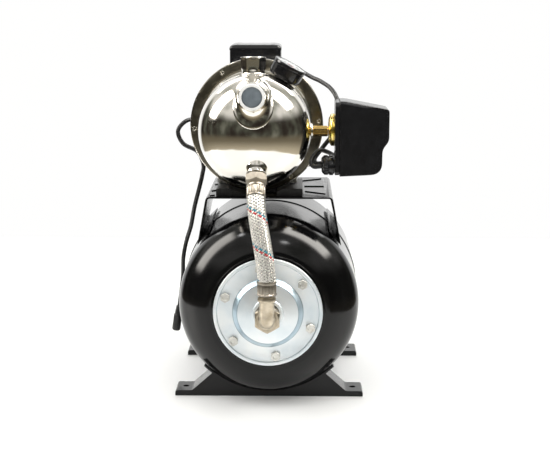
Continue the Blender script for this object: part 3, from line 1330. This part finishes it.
GAUGE_CASE = (
    (0, 0.0795), (0.005, 0.0795), (0.0058, 0.0806), (0.0062, 0.0822), (0.0062, 0.084),
    (0.0075, GAUGE_BACK), (0.0205, GAUGE_BACK), (0.0228, GAUGE_BACK + 0.0008),
    (0.024, GAUGE_BACK + 0.0025), (0.0245, GAUGE_BACK + 0.006), (0.0246, GAUGE_FACE - 0.0064),
    (0.0242, GAUGE_FACE - 0.006), (0.0248, GAUGE_FACE - 0.0052), (GAUGE_R, GAUGE_FACE - 0.0046),
    (GAUGE_R, GAUGE_FACE - 0.0008), (0.0247, GAUGE_FACE - 0.0002), (0.0242, GAUGE_FACE),
    (0.023, GAUGE_FACE), (0.0225, GAUGE_FACE - 0.0004), (0.0225, GAUGE_FACE - 0.0033),
    (0, GAUGE_FACE - 0.0033),
)
dress(turned("gauge_case_look", GAUGE_CASE, GLOSSY, GAUGE_ROOT, GAUGE_AXIS, sides=112))
GAUGE_DIAL = ((0.0014, DIAL_BACK), (0.0221, DIAL_BACK), (0.0221, DIAL_TOP), (0.0014, DIAL_TOP))
dress(turned("gauge_dial_look", GAUGE_DIAL, WHITE, GAUGE_ROOT, GAUGE_AXIS))
dial_centre = GAUGE_ROOT + GAUGE_AXIS * DIAL_TOP


def dial_direction(degrees):
    turn = radians(degrees)
    return DIAL_ACROSS * cos(turn) + DIAL_UP * sin(turn)


def dial_plate(name, degrees, outline, centre, low, high, mat):
    """A thin plate; its outline is (outward, sideways) from the centre at an angle."""
    outward = dial_direction(degrees)
    sideways = GAUGE_AXIS.cross(outward).normalized()
    points = [outward * out + sideways * side for out, side in outline]
    return shell(name, [[centre + point + GAUGE_AXIS * lift for point in points]
                        for lift in (low, high)], mat)


def dial_mark(degrees, inner, outer, half):
    return dial_plate("mark", degrees, rectangle(inner, -half, outer, half), dial_centre,
                      0.0, 0.00015, PRINT)


def dial_number(text, degrees):
    curve = bpy.data.curves.new("number", "FONT")
    curve.body = text
    curve.size = 0.0068
    curve.align_x, curve.align_y = "CENTER", "CENTER"
    curve.extrude = 0.00007
    curve.resolution_u = 3
    holder = bpy.data.objects.new("number", curve)
    bpy.context.scene.collection.objects.link(holder)
    bpy.context.view_layer.update()
    graph = bpy.context.evaluated_depsgraph_get()
    mesh = bpy.data.meshes.new_from_object(holder.evaluated_get(graph))
    bpy.data.objects.remove(holder, do_unlink=True)
    build = bmesh.new()
    build.from_mesh(mesh)
    centre = dial_centre + dial_direction(degrees) * 0.013
    for vert in build.verts:
        x, y, z = vert.co
        vert.co = centre + DIAL_ACROSS * x + DIAL_UP * y + GAUGE_AXIS * (z + 0.00008)
    return link("dial_number", build, PRINT, 30)


marks = []
for k in range(26):
    inner, half = (0.0168, 0.0006) if k % 5 == 0 else (0.0182, 0.00028)
    marks.append(dial_mark(DIAL_START - DIAL_SWEEP * k / 25, inner, 0.0206, half))
for k in range(6):
    marks.append(dial_number(str(2 * k), DIAL_START - 54 * k))
# Short bars form an arc round the ends of the marks.
for k in range(24):
    marks.append(dial_mark(DIAL_START - DIAL_SWEEP * (k + 0.5) / 24, 0.0205, 0.0213, 0.00122))
trim(join("dial_marks_look", *marks))

NEEDLE_TIP = (0.0172, 0)
NEEDLE_SIDE = [  # outward, sideways
    (0.0168, 0.0005), (0.006, 0.0011), (0.0012, 0.0017), (0, 0.0019), (-0.0016, 0.0016),
    (-0.005, 0.0011), (-0.006, 0.0007),
]
NEEDLE_HUB = (
    (0, -0.0014), (0.0010, -0.0014), (0.0010, -0.0003), (0.0023, -0.0003), (0.0025, -0.0001),
    (0.0025, 0.0002), (0.0022, 0.0004), (0, 0.0004),
)
needle_outline = [NEEDLE_TIP] + NEEDLE_SIDE + [(out, -side) for out, side in NEEDLE_SIDE[::-1]]
needle_centre = GAUGE_ROOT + GAUGE_AXIS * (DIAL_BACK + 0.0016)
needle = dial_plate("needle", DIAL_START, needle_outline, needle_centre, -0.0002, 0.0002, RED)
hub = turned("hub", NEEDLE_HUB, PRINT, needle_centre, GAUGE_AXIS, sides=48)
dress(join("gauge_needle_look", needle, hub), body="gauge_pointer")
GAUGE_LENS = (
    (0, GAUGE_FACE - 0.0008), (0.0222, GAUGE_FACE - 0.0008), (0.0222, GAUGE_FACE - 0.0003),
    (0.018, GAUGE_FACE - 0.0002), (0.012, GAUGE_FACE - 0.0001), (0.006, GAUGE_FACE),
    (0, GAUGE_FACE),
)
dress(turned("gauge_lens_look", GAUGE_LENS, CLEAR, GAUGE_ROOT, GAUGE_AXIS))

# ----------------------------------------------------------- pressure switch
NIPPLE_FLAT = 0.0068
nipple = [(0.0035, 0.056), (0.0058, 0.056)]
for k in range(5):
    nipple += [(0.0062, 0.0566 + 0.0015 * k), (0.0056, 0.0573 + 0.0015 * k)]
nipple += [
    (0.0060, 0.0650), (NIPPLE_FLAT, 0.0653, ("hex", 0.0068)),
    (NIPPLE_FLAT, 0.0658, ("hex", 0.0073)), (NIPPLE_FLAT, 0.0664, FULL_HEX),
    (NIPPLE_FLAT, 0.0856, FULL_HEX), (NIPPLE_FLAT, 0.0862, ("hex", 0.0073)),
    (NIPPLE_FLAT, 0.0867, ("hex", 0.0068)), (0.0062, 0.0868), (0.0035, 0.0868),
]
dress(turned("switch_nipple_look", nipple, GOLD_BRASS, (0, SWITCH_Y, NIPPLE_Z), (1, 0, 0),
             angle=24))
DIAPHRAGM = (  # radius, x
    (0, 0.0872), (0.0108, 0.0872), (0.0118, 0.0874), (0.0150, 0.0876), (0.0178, 0.0884),
    (0.0205, 0.0896), (0.0222, 0.0904), (0.0230, 0.0912), (0.0238, 0.0924), (0.0239, 0.0938),
    (0.0234, 0.0944), (0.0239, 0.0950), (0.0238, 0.0960), (0.0234, 0.0962), (0, 0.0962),
)
dress(turned("switch_diaphragm_flange_look", DIAPHRAGM, CHROMATE,
             (0, SWITCH_Y, NIPPLE_Z + 0.002), (1, 0, 0)))

SWITCH_Y0, SWITCH_Y1 = SWITCH_Y - 0.032, SWITCH_Y + 0.032
switch_base = prism(
    "switch_base_look",
    rounded(rectangle(SWITCH_Y0, 0.3415, SWITCH_Y1, 0.4480), (0.006, 0.006, 0.010, 0.010), 8),
    "X", 0.0966, 0.1030, PLASTIC)
cut(switch_base, *[drill((0.090, y, GLAND_Z), (0.110, y, GLAND_Z), CABLE_R + 0.0006)
                   for y in GLAND_YS])
dress(bevel(switch_base, width=0.0008, segments=3, angle=40))

COVER_OUTLINE = rounded(  # x, z
    [(0.1033, 0.3400), (0.1650, 0.3430), (0.1655, 0.3790), (0.1750, 0.3910), (0.1750, 0.4370),
     (0.1120, 0.4490), (0.1033, 0.4490)],
    (0, 0.018, 0.006, 0.006, 0.005, 0.004, 0), 10)
COVER_INSIDE = rounded(
    [(0.1000, 0.3428), (0.1625, 0.3455), (0.1630, 0.3800), (0.1722, 0.3920), (0.1722, 0.4340),
     (0.1120, 0.4462), (0.1000, 0.4462)],
    (0, 0.016, 0.004, 0.004, 0.004, 0.004, 0))
COVER_SIDES = ((-1, SWITCH_Y0 - 0.001), (1, SWITCH_Y1 + 0.001))  # outward direction, y


def shoulder_cutter(side, y):
    """A tapered wedge along the top edge of one side of the cover."""
    points = (
        (0.1, y + side * 0.003, 0.440), (0.1, y + side * 0.003, 0.460),
        (0.1, y - side * 0.0063, 0.460), (0.18, y + side * 0.003, 0.426),
        (0.18, y + side * 0.003, 0.447), (0.18, y - side * 0.009, 0.444),
    )
    build = bmesh.new()
    verts = [build.verts.new(point) for point in points]
    for face in ((0, 1, 2), (3, 5, 4), (0, 3, 4, 1), (1, 4, 5, 2), (2, 5, 3, 0)):
        build.faces.new([verts[i] for i in face])
    return link("shoulder", build, PLASTIC)


def switch_cover():
    """The sides draw in away from the base."""
    made = prism("switch_cover_look", COVER_OUTLINE, "Y", COVER_SIDES[0][1], COVER_SIDES[1][1])
    for side, y in COVER_SIDES:
        wedge = [(0.115, y + side * 0.004), (0.18, y + side * 0.004), (0.18, y - side * 0.006)]
        cut(made, prism("wedge", wedge, "Z", 0.330, 0.460))
        cut(made, shoulder_cutter(side, y))
    bevel(made, width=0.0024, segments=5, angle=24)
    cut(made, prism("inside", COVER_INSIDE, "Y", SWITCH_Y0 + 0.0085, SWITCH_Y1 - 0.0085))
    return made


dress(switch_cover())
# A raised rib runs along each side of the cover, under its step.
for name, side, y in (("front", -1, SWITCH_Y0 + 0.0012), ("rear", 1, SWITCH_Y1 - 0.0012)):
    rib_line = spline([(0.1265, y, 0.3925), (0.15, y - side * 0.0022, 0.394),
                       (0.169, y - side * 0.004, 0.3955)], 0.003)
    rib_radii = [0.0004 + 0.002 * sin(pi * min(1.0, (k + 0.5) / 12))
                 for k in range(len(rib_line))]
    trim(swept(f"cover_rib_{name}_look", rib_line, rib_radii, PLASTIC, sides=20))


def contact_lever():
    blade = [(0.1108, 0.42), (0.1122, 0.42), (0.1122, 0.372), (0.125, 0.372), (0.125, 0.37),
             (0.1108, 0.37)]
    arm = [(0.1095, 0.43), (0.1122, 0.43), (0.1122, 0.415), (0.1108, 0.415)]
    eye = ((0, -0.009), (0.0045, -0.009), (0.0045, 0.009), (0, 0.009))
    low, high = SWITCH_Y - 0.008, SWITCH_Y + 0.008
    made = prism("switch_contact_lever_look", blade, "Y", low, high, BEARING)
    merge(made, turned("eye", eye, BEARING, (0.109, SWITCH_Y, 0.43), sides=48))
    merge(made, prism("arm", arm, "Y", low, high))
    return made


dress(contact_lever(), body="contact_lever")

GLAND_BORE, GLAND_RIBS = CABLE_R + 0.0004, ("flute", 18, 0.0006)
GLAND = (  # radius, x
    (GLAND_BORE, 0.0775), (0.0060, 0.0775), (0.0078, 0.0778), (0.0094, 0.0786),
    (0.0104, 0.0796), (0.0112, 0.0806), (0.0122, 0.0814, GLAND_RIBS),
    (0.0126, 0.0822, GLAND_RIBS), (0.0126, 0.0866, GLAND_RIBS), (0.0122, 0.0872, GLAND_RIBS),
    (0.0112, 0.0876), (0.0112, 0.0884), (0.0129, 0.0888), (0.0130, 0.0894), (0.0130, 0.0938),
    (0.0128, 0.0944), (0.0110, 0.0948), (0.0110, 0.0962), (GLAND_BORE, 0.0962),
)
for name, y in zip(("front", "rear"), GLAND_YS):
    dress(turned(f"cable_gland_{name}_look", GLAND, PLASTIC, (0, y, GLAND_Z), (1, 0, 0),
                 sides=144, angle=28))

# -------------------------------------------------------------------- cables
LEAD = (  # from the terminal box to the rear gland
    LEAD_START, (0.0240, 0.0290, 0.4935), (0.0370, 0.0205, 0.4895), (0.0510, 0.0060, 0.4810),
    (0.0652, -0.0150, 0.4742), (0.0773, -0.0300, 0.4695), (0.0925, -0.0520, 0.4600),
    (0.1020, -0.0690, 0.4440), (0.1040, -0.0800, 0.4210), (0.0960, -0.0840, 0.3960),
    (0.0800, -0.0850, 0.3740), (0.0680, -0.0960, 0.3590), (0.0700, -0.1080, 0.3533),
    (0.0760, GLAND_YS[1], GLAND_Z), (0.0940, GLAND_YS[1], GLAND_Z),
)
dress(swept("motor_lead_look", spline(LEAD, 0.003), CABLE_R, RUBBER))
CORD = (  # from the front gland, behind the pump and down the left side
    (0.0940, GLAND_YS[0], GLAND_Z), (0.0760, GLAND_YS[0], GLAND_Z),
    (0.0660, GLAND_YS[0] + 0.0005, 0.3525), (0.0620, -0.1360, 0.3590),
    (0.0680, -0.1250, 0.3690), (0.0780, -0.1090, 0.3730), (0.0970, -0.0740, 0.3600),
    (0.0880, -0.0300, 0.3450), (0.0560, 0.0180, 0.3340), (0.0000, 0.0420, 0.3200),
    (-0.0550, 0.0420, 0.3260), (-0.0950, 0.0280, 0.3600), (-0.1140, 0.0020, 0.4020),
    (-0.1290, -0.0170, 0.4080), (-0.1430, -0.0260, 0.3930), (-0.1350, -0.0280, 0.3730),
    (-0.1130, -0.0300, 0.3610), (-0.1035, -0.0360, 0.3420), (-0.1050, -0.0400, 0.3260),
    (-0.1095, -0.0400, 0.3070), (-0.1185, -0.0280, 0.2740), (-0.1262, -0.0080, 0.2400),
    (-0.1350, 0.0080, 0.2130), (-0.1408, 0.0120, 0.1850), (-0.1425, 0.0180, 0.1540),
    (-0.1460, 0.0240, 0.1270), (-0.1500, 0.0280, 0.1010),
)
# A ribbed sleeve and a plain barrel at the cord's end: (distance, radius).
cord_end = [(0.0004, 0.004)]
for k in range(5):
    start, radius = 0.0028 * k, 0.004 + 0.0002 * k
    cord_end += [(0.001 + start, radius), (0.0014 + start, 0.005 + 0.0002 * k),
                 (0.0026 + start, 0.005 + 0.0002 * k), (0.003 + start, radius)]
cord_end += [(0.0150, 0.0056), (0.0156, 0.0064), (0.0166, 0.0068), (0.0400, 0.0068),
             (0.0420, 0.0066), (0.0430, 0.0058)]
dress(swept("power_cord_look", spline(CORD, 0.003), CABLE_R, RUBBER, ends=cord_end))

# ------------------------------------------------ finishes of the CAD nodes kept
INSIDE = {
    "tank_bladder": RUBBER, "casing_o_ring": RUBBER, "shaft_seal": RUBBER,
    "ejector_diffuser": NORYL, "impeller": NORYL, "cooling_fan": NORYL,
    "motor_shaft": LAMINATION, "rotor_core": LAMINATION, "front_bearing": BEARING,
    "rear_bearing": BEARING, "stator_winding": COPPER,
}
shown = sorted(name for name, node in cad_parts.items()
               if not node.hide_render and name not in INSIDE)
for name in [*INSIDE, *shown]:
    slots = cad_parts[name].data.materials
    slots.clear()
    slots.append(INSIDE.get(name, PLASTIC))

# ---------------------------------------------------------------------- floor
FLOOR_OUTLINE = (
    (-0.045, -0.785, 0), (0.40, -0.60, 0), (0.58, -0.25, 0), (0.70, 0.40, 0), (0.76, 1.26, 0),
    (-0.80, 1.26, 0), (-0.87, 0.0, 0), (-0.80, -0.25, 0), (-0.55, -0.62, 0),
)
floor_mesh = bpy.data.meshes.new("studio_floor")
floor_mesh.from_pydata(FLOOR_OUTLINE, [], [tuple(range(len(FLOOR_OUTLINE)))])
floor = bpy.data.objects.new("studio_floor", floor_mesh)
floor_finish = Finish("look_studio_floor", roughness=0.42)
floor_finish.colour(floor_finish.cloud(scale=1.5),
                    ((0.3, (0.93, 0.93, 0.925)), (0.7, (0.95, 0.95, 0.945))))
floor_mesh.materials.append(floor_finish.mat)
bpy.context.scene.collection.objects.link(floor)

# --------------------------------------------------------------------- lights
PUMP_SET = (0, -0.1, 0.3)
# Name, place, aim, width, height, power, and whether mirrors show it. The big boxes and the
# fill are not mirrored: what the bright metals reflect of them is drawn in the world.
SOFTBOXES = (
    ("left_softbox", (-1.75, -0.10, 1.64), PUMP_SET, 1.15, 1.50, 20, False),
    ("right_softbox", (1.30, -0.21, 2.20), PUMP_SET, 1.15, 1.60, 20, False),
    ("small_lamp_right", (0.56, -1.32, 2.18), PUMP_SET, 0.26, 0.18, 2.2, True),
    ("small_lamp_left", (-1.05, -0.37, 2.34), PUMP_SET, 0.26, 0.18, 2.4, True),
    ("backdrop_wash", (0.0, 3.6, 3.4), (0, 2.4, 0.0), 7.0, 1.4, 95, True),
    ("front_fill", (0.30, -2.10, 0.95), (0, -0.1, 0.35), 1.10, 0.80, 23, False),
)


def softbox(name, place, aim, width, height, power, mirrored):
    data = bpy.data.lights.new(name, "AREA")
    data.shape = "RECTANGLE"
    data.size, data.size_y = width, height
    data.energy = power
    lamp = bpy.data.objects.new(name, data)
    lamp.location = place
    lamp.rotation_euler = (Vector(aim) - Vector(place)).to_track_quat("-Z", "Y").to_euler()
    lamp.visible_glossy = mirrored
    bpy.context.scene.collection.objects.link(lamp)
    return lamp


lamps = [softbox(*row) for row in SOFTBOXES]

# ---------------------------------------------------------------------- world
ROOM_STREAKS = (
    (0.30, (0.013, 0.011, 0.010)), (0.43, (0.036, 0.029, 0.024)),
    (0.56, (0.082, 0.084, 0.066)), (0.72, (0.22, 0.22, 0.18)),
)
CEILING_PATCHES = ((0.36, (0.34, 0.35, 0.30)), (0.62, (0.90, 0.88, 0.84)))
LOW_COLOUR, LOW_WALL_COLOUR = (0.62, 0.55, 0.41), (0.17, 0.145, 0.10)
FRONT_COLOUR, BACKDROP_COLOUR = (1.15, 1.15, 1.14), (1.0, 1.0, 0.995)
WINDOWS = (  # direction, half width, half height, glow
    ((-0.793, 0.0, 0.609), 0.20, 0.37, (12.5, 12.0, 11.2)),
    ((0.566, -0.05, 0.824), 0.20, 0.41, (17.0, 16.4, 15.4)),
)
WINDOW_SOFT = 0.07


def window_mask(nodes, view, toward, half_across, half_up):
    """A soft-edged rectangle in the room: 1 inside it and 0 outside."""

    def dot(axis):
        made = nodes.add("ShaderNodeVectorMath", operation="DOT_PRODUCT")
        nodes.feed(made.inputs[0], view)
        made.inputs[1].default_value = tuple(axis)
        return made.outputs["Value"]

    centre = Vector(toward).normalized()
    across = centre.cross(Vector((0, 0, 1))).normalized()
    ahead = dot(centre)
    mask = nodes.step(ahead, 0.15, 0.30)
    for axis, half in ((across, half_across), (across.cross(centre), half_up)):
        slope = nodes.math("DIVIDE", dot(axis), nodes.math("MAXIMUM", ahead, 0.05))
        outside = nodes.step(nodes.math("ABSOLUTE", slope), half - WINDOW_SOFT,
                             half + WINDOW_SOFT)
        mask = nodes.math("MULTIPLY", mask, nodes.math("SUBTRACT", 1.0, outside))
    return mask


def build_world():
    """The room that reflections meet: warm below, dark and streaked, with a dim ceiling."""
    world = bpy.data.worlds.new("studio")
    bpy.context.scene.world = world
    world.use_nodes = True
    world.node_tree.nodes.clear()
    nodes = Nodes(world.node_tree)
    view = nodes.add("ShaderNodeTexCoord").outputs["Generated"]
    x, y, elevation = nodes.split(view)

    azimuth = nodes.math("ARCTAN2", x, nodes.math("MULTIPLY", y, -1.0))
    place = nodes.add("ShaderNodeCombineXYZ")
    nodes.feed(place.inputs[0], nodes.math("MULTIPLY", azimuth, 1.25))
    nodes.feed(place.inputs[1], nodes.math("MULTIPLY", elevation, 0.9))
    streaks = nodes.noise(place.outputs[0], scale=2.0, detail=3.0, roughness=0.48)
    dark = nodes.ramp(streaks, ROOM_STREAKS)
    lower = nodes.mix(nodes.step(elevation, -0.56, -0.20), LOW_COLOUR, LOW_WALL_COLOUR)
    room = nodes.mix(nodes.step(elevation, -0.22, -0.06), lower, dark)
    ceiling = nodes.ramp(nodes.noise(view, scale=2.4, detail=1.5), CEILING_PATCHES)
    room = nodes.mix(nodes.step(elevation, 0.24, 0.48), room, ceiling)
    # The part toward -y is bright.
    behind = nodes.step(nodes.math("MULTIPLY", y, -1.0), -0.74, -0.58)
    shade = nodes.mix(behind, FRONT_COLOUR, room)

    mirrored = nodes.add("ShaderNodeLightPath").outputs["Is Glossy Ray"]
    for toward, half_across, half_up, glow in WINDOWS:
        mask = window_mask(nodes, view, toward, half_across, half_up)
        shade = nodes.mix(nodes.math("MULTIPLY", mask, mirrored), shade, glow)
    # What the camera sees past the floor is the pale backdrop.
    seen = nodes.add("ShaderNodeLightPath").outputs["Is Camera Ray"]
    shade = nodes.mix(seen, shade, BACKDROP_COLOUR)
    sky = nodes.add("ShaderNodeBackground")
    sky.inputs["Strength"].default_value = 1.0
    nodes.feed(sky.inputs["Color"], shade)
    nodes.feed(nodes.add("ShaderNodeOutputWorld").inputs["Surface"], sky.outputs[0])


build_world()

# --------------------------------------------------------------------- camera
camera_data = bpy.data.cameras.new("camera")
camera_data.lens = 81.9
camera_data.sensor_width = 36.0
camera = bpy.data.objects.new("camera", camera_data)
camera.location = (0.044, -1.8254, 0.595)
camera.rotation_euler = (radians(90 - 10.28), 0, radians(1.09))
bpy.context.scene.collection.objects.link(camera)
bpy.context.scene.camera = camera
bpy.context.scene.view_settings.view_transform = "Standard"
